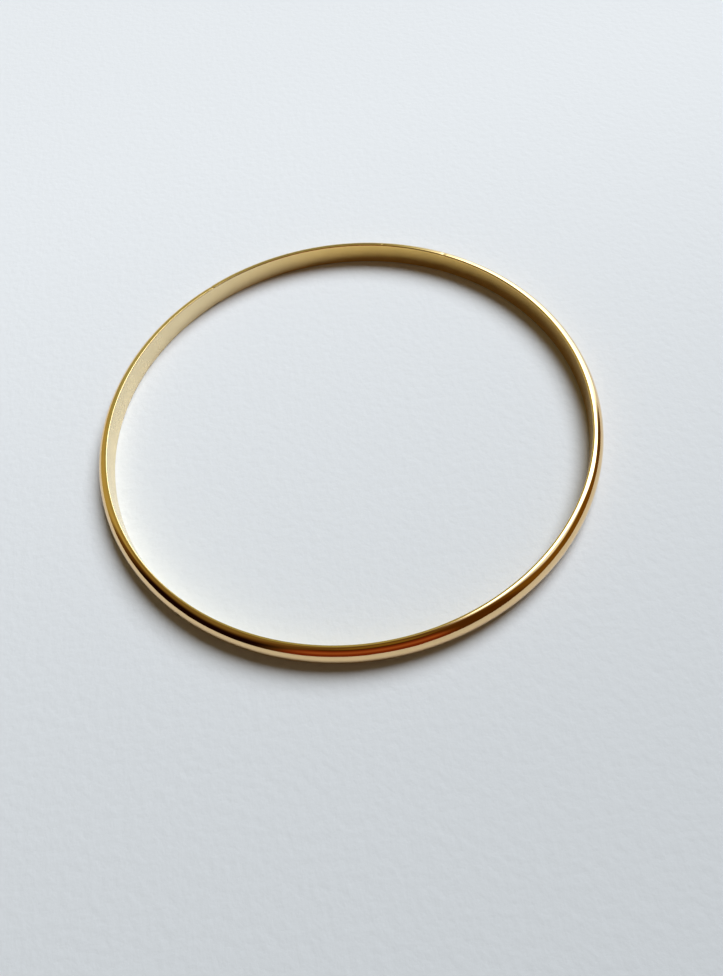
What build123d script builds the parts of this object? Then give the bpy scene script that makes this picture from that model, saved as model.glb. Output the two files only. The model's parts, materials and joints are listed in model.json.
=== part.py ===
from build123d import *
import os

# A plain slip-on bangle: a strip of half-round gold wire bent into a closed ring,
# its two ends butted together and joined by a thin wafer of solder.
#
# Frame: the ring lies flat with +Z along its axis. The origin is the centre of the
# circle on which it rests, so the lowest edge of the ring is at Z = 0.

# ---- Driving dimensions, in millimetres and degrees ----
inner_diameter = 65.0     # the wrist opening, across the flat inner wall
band_width = 3.3          # width of the half-round strip, along the ring's axis
band_thickness = 1.55     # from the flat inner wall to the crown of the dome
edge_radius = 0.15        # the softened corners between inner wall and dome
solder_gap = 0.1          # width of the butt joint that the solder fills
seam_angle = 121.0        # where the joint lies round the ring, from +X towards +Y

# ---- Sizes that follow from them ----
inner_radius = inner_diameter / 2
corner_centre = inner_radius + edge_radius    # radius at which dome and corners meet
joint_centre = inner_radius + band_thickness / 2
joint_depth = 2 * band_thickness    # radial reach of the block that marks out the joint
joint_height = 2 * band_width       # height of that block, past both edges of the strip

# The joint's own plane: local X points out along the radius through the joint, and
# the plane's origin is on the ring's axis at the middle of the strip's width.
joint_plane = Plane.XY.offset(band_width / 2).rotated((0, 0, seam_angle))

os.makedirs("parts", exist_ok=True)

# ---- Section of the strip: flat inner wall, softened corners, elliptical dome ----
with BuildSketch(Plane.XZ) as strip_section:
    with BuildLine():
        Line((inner_radius, band_width - edge_radius), (inner_radius, edge_radius))
        CenterArc((corner_centre, edge_radius), edge_radius, start_angle=180, arc_size=90)
        EllipticalCenterArc(
            (corner_centre, band_width / 2),
            band_thickness - edge_radius,
            band_width / 2,
            start_angle=-90,
            arc_size=180,
        )
        CenterArc(
            (corner_centre, band_width - edge_radius),
            edge_radius,
            start_angle=90,
            arc_size=90,
        )
    make_face()

# ---- Band: the strip bent round to a ring, open by the width of the joint ----
with BuildPart() as band:
    add(strip_section.sketch)
    revolve(axis=Axis.Z)
    with Locations(joint_plane):
        with Locations((joint_centre, 0, 0)):
            Box(joint_depth, solder_gap, joint_height, mode=Mode.SUBTRACT)

band.part.label = "band"
export_step(band.part, "parts/band.step")

# ---- Solder seam: the wafer of solder that closes the gap between the two ends ----
with BuildPart() as solder_seam:
    add(strip_section.sketch)
    revolve(axis=Axis.Z)
    with Locations(joint_plane):
        with Locations((joint_centre, 0, 0)):
            Box(joint_depth, solder_gap, joint_height, mode=Mode.INTERSECT)

solder_seam.part.label = "solder_seam"
export_step(solder_seam.part, "parts/solder_seam.step")
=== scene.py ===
import json
import math

import bpy
import numpy as np
from mathutils import Matrix, Vector


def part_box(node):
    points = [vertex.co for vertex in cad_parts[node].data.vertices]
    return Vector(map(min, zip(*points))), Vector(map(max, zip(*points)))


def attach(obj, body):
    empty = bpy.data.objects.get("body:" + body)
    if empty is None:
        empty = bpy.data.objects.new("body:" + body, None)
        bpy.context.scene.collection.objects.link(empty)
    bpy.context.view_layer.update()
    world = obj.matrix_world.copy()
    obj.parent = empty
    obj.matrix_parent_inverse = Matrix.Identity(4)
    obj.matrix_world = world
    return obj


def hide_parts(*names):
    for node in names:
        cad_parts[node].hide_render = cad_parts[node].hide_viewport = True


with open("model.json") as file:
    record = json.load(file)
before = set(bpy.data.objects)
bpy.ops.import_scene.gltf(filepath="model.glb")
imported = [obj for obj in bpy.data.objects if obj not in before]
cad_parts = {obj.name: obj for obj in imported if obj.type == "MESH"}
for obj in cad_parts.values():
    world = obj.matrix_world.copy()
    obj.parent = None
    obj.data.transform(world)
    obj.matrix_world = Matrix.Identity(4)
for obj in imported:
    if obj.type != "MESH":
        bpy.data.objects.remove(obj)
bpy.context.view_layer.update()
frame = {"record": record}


# ---------------------------------------------------------------------------
# Band. A strip of half-round gold wire, flat inside and domed outside, bent into
# a ring by hand round a mandrel, then filed at the joint and polished on a buff.
# ---------------------------------------------------------------------------
MM = 0.001
band_low, band_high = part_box("band")
opening = next(m for m in frame["record"]["mounts"] if m["name"] == "wrist_opening")
inner_radius = opening["dims"]["r_mm"] * MM
band_width = band_high.z - band_low.z
band_thickness = band_high.x - inner_radius
crown_radius = inner_radius + band_thickness
edge_radius = (band_width - opening["dims"]["length_mm"] * MM) / 2

# The joint: the direction in which its solder lies, and half its width as an angle.
joint_low, joint_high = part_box("solder_seam")
joint_middle = (joint_low + joint_high) / 2
joint_angle = math.atan2(joint_middle.y, joint_middle.x)
joint_gap = 0.10 * MM
half_gap = joint_gap / 2 / crown_radius


def strip_section(wall_steps, corner_steps, dome_steps):
    """The strip's outline as a closed loop, from the foot of the inner wall upwards.

    Four stretches: the straight wall, a quarter circle of the edge radius, half an
    ellipse for the dome, and the second quarter circle. Returns the distance of each
    point from the inner wall's cylinder, its height, its outward normal in that plane,
    the distance along the outline, and how much the point belongs to the inner wall.
    """
    half = band_width / 2
    reach = band_thickness - edge_radius
    rise = np.linspace(0, 1, wall_steps, endpoint=False)
    wall = np.stack([0 * rise, edge_radius + rise * (band_width - 2 * edge_radius)], 1)
    turn = np.linspace(0, math.pi / 2, corner_steps, endpoint=False)
    top = np.stack([edge_radius * (1 - np.cos(turn)),
                    band_width - edge_radius * (1 - np.sin(turn))], 1)
    sweep = np.linspace(math.pi / 2, -math.pi / 2, dome_steps, endpoint=False)
    dome = np.stack([edge_radius + reach * np.cos(sweep), half + half * np.sin(sweep)], 1)
    foot = np.stack([edge_radius * (1 - np.sin(turn)), edge_radius * (1 - np.cos(turn))], 1)
    points = np.concatenate([wall, top, dome, foot])

    normal_wall = np.stack([-1 + 0 * rise, 0 * rise], 1)
    normal_top = np.stack([-np.cos(turn), np.sin(turn)], 1)
    normal_dome = np.stack([np.cos(sweep) / reach, np.sin(sweep) / half], 1)
    normal_foot = np.stack([-np.sin(turn), -np.cos(turn)], 1)
    normals = np.concatenate([normal_wall, normal_top, normal_dome, normal_foot])
    normals /= np.linalg.norm(normals, axis=1, keepdims=True)

    step = np.linalg.norm(np.roll(points, -1, axis=0) - points, axis=1)
    along = np.concatenate([[0], np.cumsum(step)])
    insideness = np.clip(-normals[:, 0], 0, 1) ** 2
    return points, normals, along, insideness


def ring_mesh(name, angles, section, dent):
    """Carries the section round the ring's axis and returns the closed mesh.

    A point at angle a lies at radius R + r + n * d and height z + m * d, where (r, z)
    is the section's point, (n, m) its normal and d the dent there, which is never
    outwards. Both ends are closed by a flat face each.
    """
    points, normals, along, insideness = section
    rows, columns = len(angles), len(points)
    d = dent(angles[:, None], along[None, :-1])
    radius = inner_radius + points[None, :, 0] + normals[None, :, 0] * d
    height = np.clip(points[None, :, 1] + normals[None, :, 1] * d, 0, band_width)
    verts = np.stack([radius * np.cos(angles)[:, None],
                      radius * np.sin(angles)[:, None],
                      height + band_low.z], -1).reshape(-1, 3)

    row, column = np.meshgrid(np.arange(rows - 1), np.arange(columns), indexing="ij")
    after = (column + 1) % columns
    quads = np.stack([row * columns + column, row * columns + after,
                      (row + 1) * columns + after, (row + 1) * columns + column], -1)
    faces = quads.reshape(-1, 4).tolist()
    faces.append(list(range(columns))[::-1])
    faces.append(list(range((rows - 1) * columns, rows * columns)))

    mesh = bpy.data.meshes.new(name)
    mesh.from_pydata(verts, [], faces)
    mesh.update()
    mesh.shade_smooth()

    # The "strip" map: millimetres round the ring, and millimetres round the outline.
    strip = mesh.uv_layers.new(name="strip")
    at_ring = (inner_radius + band_thickness / 2) * angles / MM
    u = np.stack([at_ring[row], at_ring[row], at_ring[row + 1], at_ring[row + 1]], -1)
    v = np.stack([along[column], along[column + 1], along[column + 1], along[column]], -1)
    ends_u = np.repeat([at_ring[0], at_ring[-1]], columns)
    ends_v = np.concatenate([along[:-1][::-1], along[:-1]])
    uv = np.stack([np.concatenate([u.ravel(), ends_u]),
                   np.concatenate([v.ravel(), ends_v]) / MM], -1)
    strip.uv.foreach_set("vector", uv.astype(np.float32).ravel())

    inner = mesh.attributes.new("inner_wall", "FLOAT", "POINT")
    inner.data.foreach_set("value", np.tile(insideness, rows).astype(np.float32))
    return mesh


band_section = strip_section(wall_steps=10, corner_steps=8, dome_steps=44)
outline_length = band_section[2][-1]

# Slow unevenness left by hand polishing. Each wave: how many go round the ring, its
# start and its turn across the outline in radians, and its share of the depth, which
# is in millimetres.
wave_depth = 0.0016
waves = [
    (9, 0.0, 4, 1.0),
    (23, 1.3, -6, 1.0),
    (41, 2.1, 0, 0.5),
]

# Wear at the joint, in millimetres: the depth filed on both sides, what is filed more
# past the joint, how far that reaches, and the depth and half width of the groove.
filed_depth = 0.01
more_past_joint = 0.03
filed_reach = 3.0
groove_depth = 0.05
groove_width = 0.16

# Small dents from wear: degrees round the ring, share of the outline, length and
# width in millimetres, and depth in millimetres.
knocks = [
    (72.0, 0.43, 0.20, 0.45, 0.018),
    (55.0, 0.43, 0.30, 0.30, 0.025),
    (47.0, 0.44, 0.45, 0.25, 0.030),
    (331.0, 0.62, 0.35, 0.30, 0.012),
    (284.0, 0.60, 0.25, 0.40, 0.010),
    (243.0, 0.66, 0.40, 0.25, 0.010),
    (199.0, 0.72, 0.25, 0.25, 0.012),
    (158.0, 0.60, 0.30, 0.30, 0.014),
]


def on_wall(along):
    """1 on the inner wall, then down to 0 over 0.3 mm of the outline.

    It reaches 0 one edge radius past the start of the upper corner, and stays 0 over
    the dome and round the lower corner.
    """
    return np.clip((band_width - edge_radius - along) / (0.3 * MM), 0, 1)


def turned_from(angles, middle):
    """Angles measured from a middle one, from half a turn before it to half after."""
    return (angles - middle + math.pi) % (2 * math.pi) - math.pi


def worn(angles, along):
    """How far the surface lies below the drawn one, as a negative distance.

    The sum of: the slow waves, a filed hollow that dies away from the joint and is
    deeper past it, a bell-shaped groove along the joint, and one bell-shaped dent for
    each knock. On the inner wall the hollow and the groove are a twentieth as deep.
    """
    share = along / outline_length
    depth = 0
    for count, start, turn, size in waves:
        wave = np.sin(count * angles + start + turn * share)
        depth = depth + wave_depth * size * (wave - 1)
    from_joint = turned_from(angles, joint_angle)
    across = crown_radius / MM * from_joint
    past_joint = np.clip(0.5 + from_joint / (2 * half_gap), 0, 1)
    hollow = (filed_depth + more_past_joint * past_joint) * np.exp(-np.abs(across) / filed_reach)
    groove = groove_depth * np.exp(-(across / groove_width) ** 2)
    depth = depth - (hollow + groove) * (1 - 0.95 * on_wall(along))
    for degrees, place, length, width, deep in knocks:
        away = turned_from(angles, math.radians(degrees))
        ring_way = crown_radius / MM * away / length
        cross_way = (share - place) * outline_length / MM / width
        depth = depth - deep * np.exp(-ring_way ** 2 - cross_way ** 2)
    return depth * MM


def ring_stations(start, end, even_count=901):
    """Angles round the ring: evenly spaced, with closer ones at the joint and knocks.

    Within 1.2 mm of a knock they are 0.1 mm apart, and over the 2.4 mm next to the
    joint their distance from it grows as a square.
    """
    even = np.linspace(start, end, even_count)
    middles = np.radians([knock[0] for knock in knocks]) % (2 * math.pi)
    middles = np.where(middles < start, middles + 2 * math.pi, middles)
    beside_knock = np.linspace(-1.2, 1.2, 25) * MM / crown_radius
    fine = (middles[:, None] + beside_knock[None]).ravel()
    beside_joint = 2.4 * np.linspace(0, 1, 30) ** 2 * MM / crown_radius
    every = np.concatenate([even, fine, start + beside_joint, end - beside_joint])
    return np.unique(np.round(every[(every >= start) & (every <= end)], 7))


band_angles = ring_stations(joint_angle + half_gap, joint_angle + 2 * math.pi - half_gap)
band_mesh = ring_mesh("polished_band", band_angles, band_section, worn)
band = bpy.data.objects.new("polished_band", band_mesh)
bpy.context.scene.collection.objects.link(band)


def node_adder(tree):
    """Returns a function that adds a node to a tree.

    An input, named or numbered, takes a plain value or another node's output. The
    node's own settings are given by name.
    """
    def add(kind, inputs=None, **settings):
        node = tree.nodes.new(kind)
        for name, value in settings.items():
            setattr(node, name, value)
        for name, value in (inputs or {}).items():
            if isinstance(value, bpy.types.NodeSocket):
                tree.links.new(value, node.inputs[name])
            else:
                node.inputs[name].default_value = value
        return node

    return add


def maths(add, operation, *values):
    """Adds a Math node with the given operation and values, and returns its output."""
    return add("ShaderNodeMath", dict(enumerate(values)), operation=operation).outputs[0]


def cleared_nodes(owner):
    """Empties the node tree of a material or a world and returns its adding function."""
    owner.use_nodes = True
    owner.node_tree.nodes.clear()
    return node_adder(owner.node_tree)


def new_group(name, inputs, outputs):
    """A shader node group, its adding function, and what is given to it.

    Inputs are a name, a kind and a value, and outputs a name and a kind.
    """
    group = bpy.data.node_groups.new(name, "ShaderNodeTree")
    for label, kind, value in inputs:
        socket = group.interface.new_socket(label, in_out="INPUT", socket_type=kind)
        if value is not None:
            socket.default_value = value
    for label, kind in outputs:
        group.interface.new_socket(label, in_out="OUTPUT", socket_type=kind)
    add = node_adder(group)
    return group, add, add("NodeGroupInput").outputs


def polishing_lines_group():
    """Fine lines left by drawing and buffing, as noise drawn out along the ring.

    It also puts out slow patches, for a tint that is a little uneven.
    """
    group, add, given = new_group(
        "polishing_lines",
        [("Strip", "NodeSocketVector", None), ("Spacing", "NodeSocketFloat", 12.0),
         ("Stretch", "NodeSocketFloat", 0.05), ("Waver", "NodeSocketFloat", 0.5)],
        [("Height", "NodeSocketFloat"), ("Patches", "NodeSocketFloat")])
    parts = add("ShaderNodeSeparateXYZ", {0: given["Strip"]}).outputs
    along = maths(add, "MULTIPLY", parts["X"], given["Stretch"])
    wander = add("ShaderNodeTexNoise", {"W": along, "Scale": 1.0}, noise_dimensions="1D")
    shift = maths(add, "MULTIPLY_ADD", wander.outputs["Fac"], given["Waver"], parts["Y"])
    across = maths(add, "MULTIPLY", shift, given["Spacing"])
    place = add("ShaderNodeCombineXYZ", {"X": along, "Y": across})
    lines = add("ShaderNodeTexNoise", {
        "Vector": place.outputs[0], "Scale": 1.0, "Detail": 4.0, "Roughness": 0.65})
    patches = add("ShaderNodeTexNoise", {
        "Vector": given["Strip"], "Scale": 0.35, "Detail": 3.0})
    add("NodeGroupOutput", {
        "Height": lines.outputs["Fac"], "Patches": patches.outputs["Fac"]})
    return group


def hairlines_group():
    """Hair scratches and finger smears: thin cell borders broken up by noise."""
    group, add, given = new_group(
        "hairlines",
        [("Strip", "NodeSocketVector", None), ("Size", "NodeSocketFloat", 0.6),
         ("Share", "NodeSocketFloat", 0.55)],
        [("Scratch", "NodeSocketFloat"), ("Smear", "NodeSocketFloat")])
    warp = add("ShaderNodeTexNoise", {"Vector": given["Strip"], "Scale": 0.25})
    bend = add("ShaderNodeVectorMath", {
        0: warp.outputs["Color"], 1: (3.0, 3.0, 3.0), 2: given["Strip"]},
        operation="MULTIPLY_ADD")
    cells = add("ShaderNodeTexVoronoi", {
        "Vector": bend.outputs[0], "Scale": given["Size"]}, feature="DISTANCE_TO_EDGE")
    thin = add("ShaderNodeMapRange", {
        "Value": cells.outputs["Distance"], "From Max": 0.012, "To Min": 1.0, "To Max": 0.0})
    gaps = add("ShaderNodeTexNoise", {
        "Vector": given["Strip"], "Scale": 0.9, "Detail": 2.0})
    broken = maths(add, "GREATER_THAN", gaps.outputs["Fac"], given["Share"])
    smear = add("ShaderNodeTexNoise", {
        "Vector": given["Strip"], "Scale": 0.12, "Detail": 5.0, "Roughness": 0.6})
    add("NodeGroupOutput", {
        "Scratch": maths(add, "MULTIPLY", thin.outputs[0], broken),
        "Smear": smear.outputs["Fac"]})
    return group


polishing_lines = polishing_lines_group()
hairlines = hairlines_group()


def gold_material(name, dome_colour, wall_colour, painted_sheen_colour, dome_roughness,
                  wall_roughness):
    """Polished gold: bright on the dome, satin on the inner wall.

    The wall is painted paler and hazier towards the ring's left, where it faces the
    window: a painted sheen for the light that falls there.
    """
    material = bpy.data.materials.new(name)
    add = cleared_nodes(material)
    strip = add("ShaderNodeUVMap", uv_map="strip").outputs["UV"]
    inner = add("ShaderNodeAttribute", attribute_name="inner_wall").outputs["Fac"]
    lines = add("ShaderNodeGroup", {"Strip": strip, "Spacing": 7.0},
                node_tree=polishing_lines).outputs
    wear = add("ShaderNodeGroup", {"Strip": strip}, node_tree=hairlines).outputs
    sides = add("ShaderNodeSeparateXYZ", {0: add("ShaderNodeTexCoord").outputs["Object"]})
    # Painted sheen: towards the ring's left, where the inner wall faces the window, the wall's
    # tint is mixed paler and its haze made stronger, standing in for the light falling there.
    painted_sheen_side = add("ShaderNodeMapRange", {
        "Value": sides.outputs["X"], "From Min": 10 * MM, "From Max": -30 * MM},
        interpolation_type="SMOOTHSTEP").outputs[0]

    wall_tint = add("ShaderNodeMix", {
        "Factor": painted_sheen_side, "A": (*wall_colour, 1), "B": (*painted_sheen_colour, 1)},
        data_type="RGBA")
    tint = add("ShaderNodeMix", {
        "Factor": inner, "A": (*dome_colour, 1), "B": wall_tint.outputs["Result"]},
        data_type="RGBA")
    shade = add("ShaderNodeMapRange", {
        "Value": lines["Patches"], "From Min": 0.3, "From Max": 0.7,
        "To Min": 0.96, "To Max": 1.03})
    uneven = add("ShaderNodeHueSaturation", {
        "Color": tint.outputs["Result"], "Value": shade.outputs[0]})

    finish = add("ShaderNodeMapRange", {
        "Value": inner, "To Min": dome_roughness, "To Max": wall_roughness})
    smeared = maths(add, "MULTIPLY_ADD", wear["Smear"], 0.04, finish.outputs[0])
    scratched = maths(add, "MULTIPLY_ADD", wear["Scratch"], 0.08, smeared)

    line_depth = add("ShaderNodeMapRange", {"Value": inner, "To Min": 0.5, "To Max": 0.12})
    relief = add("ShaderNodeBump", {
        "Strength": line_depth.outputs[0], "Distance": 0.006 * MM, "Height": lines["Height"]})
    cuts = add("ShaderNodeBump", {
        "Strength": 0.1, "Distance": 0.003 * MM, "Height": wear["Scratch"],
        "Normal": relief.outputs[0]}, invert=True)

    metal = add("ShaderNodeBsdfPrincipled", {
        "Base Color": uneven.outputs["Color"], "Metallic": 1.0, "Roughness": scratched,
        "Normal": cuts.outputs[0]})
    haze = add("ShaderNodeBsdfPrincipled", {
        "Base Color": (0.86, 0.80, 0.66, 1), "Metallic": 1.0, "Roughness": 0.62})
    # The wall's haze lobe is weak everywhere and stronger on the painted sheen side.
    haziness = add("ShaderNodeMapRange", {"Value": painted_sheen_side, "To Min": 0.04, "To Max": 0.24})
    painted_sheen_haze = maths(add, "MULTIPLY", inner, haziness.outputs[0])
    gold = add("ShaderNodeMixShader", {0: painted_sheen_haze, 1: metal.outputs[0], 2: haze.outputs[0]})
    add("ShaderNodeOutputMaterial", {"Surface": gold.outputs[0]})
    return material


band_mesh.materials.append(gold_material(
    "polished_gold", dome_colour=(0.87, 0.64, 0.36), wall_colour=(0.80, 0.545, 0.18),
    painted_sheen_colour=(0.86, 0.72, 0.45), dome_roughness=0.02, wall_roughness=0.13))
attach(band, "root")
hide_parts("band")


# ---------------------------------------------------------------------------
# Solder seam. The wafer of gold solder between the strip's two cut ends, run into
# the joint when it is heated and filed back with the band. It takes less polish.
# ---------------------------------------------------------------------------
seam_hollow = 0.05 * MM


def sunk(angles, along):
    """The band's own wear, plus a groove along the joint that is deepest in its middle.

    The groove's depth falls as the square of the distance from the middle, and on the
    inner wall it is a tenth as deep.
    """
    across = np.clip(np.abs(angles - joint_angle) / half_gap, 0, 1)
    return worn(angles, along) - seam_hollow * (1 - across ** 2) * (1 - 0.9 * on_wall(along))


seam_angles = joint_angle + np.linspace(-half_gap, half_gap, 9)
seam_mesh = ring_mesh("solder_line", seam_angles, band_section, sunk)
seam = bpy.data.objects.new("solder_line", seam_mesh)
bpy.context.scene.collection.objects.link(seam)
seam_mesh.materials.append(gold_material(
    "gold_solder", dome_colour=(0.62, 0.45, 0.24), wall_colour=(0.80, 0.60, 0.28),
    painted_sheen_colour=(0.82, 0.66, 0.38), dome_roughness=0.10, wall_roughness=0.15))
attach(seam, "root")
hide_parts("solder_seam")


# ---------------------------------------------------------------------------
# Paper. The pale matt sheet that the bangle lies on, a single square far wider
# than the bangle. Its colour carries painted shade: darker towards its near side and a little to
# the right.
# ---------------------------------------------------------------------------
paper_half = 3.0    # metres
paper_mesh = bpy.data.meshes.new("paper")
paper_mesh.from_pydata(
    [(-paper_half, -paper_half, 0), (paper_half, -paper_half, 0),
     (paper_half, paper_half, 0), (-paper_half, paper_half, 0)], [], [(0, 1, 2, 3)])
paper = bpy.data.objects.new("paper", paper_mesh)
bpy.context.scene.collection.objects.link(paper)


def paper_material():
    """Matt white paper with a fine fibre grain and painted light falloff: darker from back to
    front.
    """
    material = bpy.data.materials.new("matt_paper")
    add = cleared_nodes(material)
    place = add("ShaderNodeTexCoord").outputs["Object"]
    grain = add("ShaderNodeTexNoise", {"Vector": place, "Scale": 900.0, "Detail": 4.0})
    relief = add("ShaderNodeBump", {
        "Strength": 0.6, "Distance": 0.10 * MM, "Height": grain.outputs["Fac"]})
    # Painted light falloff: the sheet's colour is mixed from a darker tone at the front and
    # right to a lighter one at the back and left, standing in for light that weakens away from
    # the window.
    away = add("ShaderNodeVectorMath", {0: place, 1: (-0.12, 1.0, 0.0)},
               operation="DOT_PRODUCT")
    painted_light_falloff = add("ShaderNodeMapRange", {
        "Value": away.outputs["Value"], "From Min": -130 * MM, "From Max": 75 * MM},
        interpolation_type="SMOOTHSTEP")
    painted_falloff_colour = add("ShaderNodeMix", {
        "Factor": painted_light_falloff.outputs[0], "A": (0.60, 0.61, 0.616, 1),
        "B": (0.876, 0.882, 0.887, 1)}, data_type="RGBA")
    sheet = add("ShaderNodeBsdfPrincipled", {
        "Base Color": painted_falloff_colour.outputs["Result"], "Roughness": 0.9,
        "Specular IOR Level": 0.15, "Normal": relief.outputs[0]})
    add("ShaderNodeOutputMaterial", {"Surface": sheet.outputs[0]})
    return material


paper_mesh.materials.append(paper_material())


# ---------------------------------------------------------------------------
# Light. A tall soft window at the back right and the dim room round it are painted
# as soft-edged patches that only shiny surfaces mirror. Two broad lamps, daylight
# from the window's side and a warm fill from above, light the paper.
# ---------------------------------------------------------------------------
def room_patch_group():
    """A soft-edged patch of the room: 1 inside a range of bearing and height, 0 outside."""
    group, add, given = new_group(
        "room_patch",
        [("Bearing", "NodeSocketFloat", 0.0), ("Height", "NodeSocketFloat", 0.0),
         ("Middle", "NodeSocketFloat", 0.0), ("Half Width", "NodeSocketFloat", 30.0),
         ("Side Blur", "NodeSocketFloat", 5.0), ("Low", "NodeSocketFloat", 0.0),
         ("High", "NodeSocketFloat", 60.0), ("End Blur", "NodeSocketFloat", 5.0)],
        [("Mask", "NodeSocketFloat")])

    def past(value, edge, blur):
        """0 before the edge and 1 past it, rising smoothly from blur before to blur past."""
        start = maths(add, "SUBTRACT", edge, blur)
        end = maths(add, "ADD", edge, blur)
        return add("ShaderNodeMapRange", {
            "Value": value, "From Min": start, "From Max": end},
            interpolation_type="SMOOTHSTEP").outputs[0]

    turned = maths(add, "SUBTRACT", given["Bearing"], given["Middle"])
    half_turn_on = maths(add, "ADD", turned, 180.0)
    one_turn = maths(add, "FLOORED_MODULO", half_turn_on, 360.0)
    aside = maths(add, "ABSOLUTE", maths(add, "SUBTRACT", one_turn, 180.0))
    past_side = past(aside, given["Half Width"], given["Side Blur"])
    past_low = past(given["Height"], given["Low"], given["End Blur"])
    past_high = past(given["Height"], given["High"], given["End Blur"])
    between_sides = maths(add, "SUBTRACT", 1.0, past_side)
    below_high = maths(add, "SUBTRACT", 1.0, past_high)
    above_low = maths(add, "MULTIPLY", between_sides, past_low)
    add("NodeGroupOutput", {"Mask": maths(add, "MULTIPLY", above_low, below_high)})
    return group


# The room's colour wherever no patch lies, which is most of the ceiling.
ceiling_colour = (0.12, 0.065, 0.018)

# Each patch, laid over those before it: name, colour, bearing from the back towards
# the right, half width, side blur, lower and upper height and their blur, in degrees.
patches = [
    ("upper left wall", (0.20, 0.145, 0.050), -68, 45, 15, 42, 82, 9),
    ("left wall", (0.42, 0.36, 0.14), -55, 17, 6, -20, 50, 12),
    ("back wall", (0.37, 0.38, 0.19), -20, 20, 7, -20, 79, 9),
    ("curtain", (0.25, 0.27, 0.15), -2, 8, 5, -20, 58, 8),
    ("curtain edge", (0.42, 0.45, 0.27), 13, 5, 4, -20, 60, 8),
    ("left dark", (0.012, 0.003, 0.001), -114, 28, 8, -20, 46, 16),
    ("front ceiling", (0.20, 0.13, 0.030), -178, 36, 8, 66, 90, 5),
    ("front shade", (0.065, 0.022, 0.001), -178, 33, 4, -20, 65, 5),
    ("front orange", (0.17, 0.038, 0.010), -178, 33, 4, -20, 56, 6),
    ("front glow", (0.30, 0.10, 0.034), -178, 30, 6, 22, 42, 8),
    ("brown near", (0.17, 0.085, 0.010), 106, 25, 8, -20, 56, 10),
    ("brown far", (0.085, 0.034, 0.004), 143, 14, 5, -20, 68, 10),
    ("window haze", (0.85, 0.90, 0.92), 86, 20, 9, 43, 78, 6),
    ("window low", (1.7, 1.9, 2.0), 39, 22, 6, -20, 50, 12),
    ("window", (3.3, 3.5, 3.6), 44.5, 32.5, 5, 34, 76, 5),
    ("blind", (0.38, 0.38, 0.20), 12, 24, 5, 43, 80, 5),
]


def room_world():
    """Paints the room by bearing and height; the camera itself sees a pale backdrop."""
    world = bpy.data.worlds.new("soft_room")
    bpy.context.scene.world = world
    world.cycles_visibility.diffuse = False
    add = cleared_nodes(world)
    patch_group = room_patch_group()
    towards = add("ShaderNodeTexCoord").outputs["Generated"]
    parts = add("ShaderNodeSeparateXYZ", {0: towards}).outputs
    bearing = maths(add, "DEGREES", maths(add, "ARCTAN2", parts["X"], parts["Y"]))
    height = maths(add, "DEGREES", maths(add, "ARCSINE", parts["Z"]))
    colour = (*ceiling_colour, 1)
    for name, tint, middle, half_width, side_blur, low, high, end_blur in patches:
        patch = add("ShaderNodeGroup", {
            "Bearing": bearing, "Height": height, "Middle": middle,
            "Half Width": half_width, "Side Blur": side_blur, "Low": low, "High": high,
            "End Blur": end_blur}, node_tree=patch_group, label=name)
        layer = add("ShaderNodeMix", {
            "Factor": patch.outputs["Mask"], "A": colour, "B": (*tint, 1)},
            data_type="RGBA")
        colour = layer.outputs["Result"]
    room = add("ShaderNodeBackground", {"Color": colour})
    backdrop = add("ShaderNodeBackground", {"Color": (0.80, 0.83, 0.86, 1)})
    by_camera = add("ShaderNodeLightPath").outputs["Is Camera Ray"]
    seen = add("ShaderNodeMixShader", {
        0: by_camera, 1: room.outputs[0], 2: backdrop.outputs[0]})
    add("ShaderNodeOutputWorld", {"Surface": seen.outputs[0]})


room_world()


def soft_sun(name, bearing, height, width, colour, strength):
    """A broad distant lamp, seen only by matt surfaces; all angles in degrees."""
    lamp = bpy.data.lights.new(name, "SUN")
    lamp.angle = math.radians(width)
    lamp.color = colour
    lamp.energy = strength
    lamp_object = bpy.data.objects.new(name, lamp)
    bpy.context.scene.collection.objects.link(lamp_object)
    turn = math.radians(bearing)
    rise = math.radians(height)
    towards = Vector((math.sin(turn) * math.cos(rise), math.cos(turn) * math.cos(rise),
                      math.sin(rise)))
    lamp_object.rotation_euler = towards.to_track_quat("Z", "Y").to_euler()
    lamp_object.visible_glossy = False


soft_sun("daylight", bearing=43, height=51, width=42, colour=(0.860, 0.924, 1.0),
         strength=3.12)
soft_sun("fill", bearing=0, height=90, width=170, colour=(1.0, 0.80, 0.48),
         strength=0.32)


# ---------------------------------------------------------------------------
# Camera. A short lens held about a hand's breadth above the bangle and in front
# of it, tilted a little to one side.
# ---------------------------------------------------------------------------
camera_place = Vector((0.615, -63.852, 87.351)) * MM
camera_aim = Vector((0.615, -10.097, 0)) * MM
camera_roll = math.radians(-9.56)
camera_data = bpy.data.cameras.new("camera")
camera_data.sensor_fit = "VERTICAL"
camera_data.sensor_height = 36.0
camera_data.sensor_width = 36.0
camera_data.lens = 28.7705
camera_data.shift_x = -0.000512
camera_data.shift_y = 0.000205
camera_data.clip_start = 0.005
camera = bpy.data.objects.new("camera", camera_data)
bpy.context.scene.collection.objects.link(camera)
bpy.context.scene.camera = camera
looking = (camera_aim - camera_place).to_track_quat("-Z", "Y").to_matrix().to_4x4()
camera.matrix_world = (Matrix.Translation(camera_place) @ looking
                       @ Matrix.Rotation(camera_roll, 4, "Z"))

bpy.context.scene.view_settings.view_transform = "Standard"
bpy.context.scene.view_settings.look = "Medium High Contrast"
bpy.context.scene.cycles.use_denoising = True
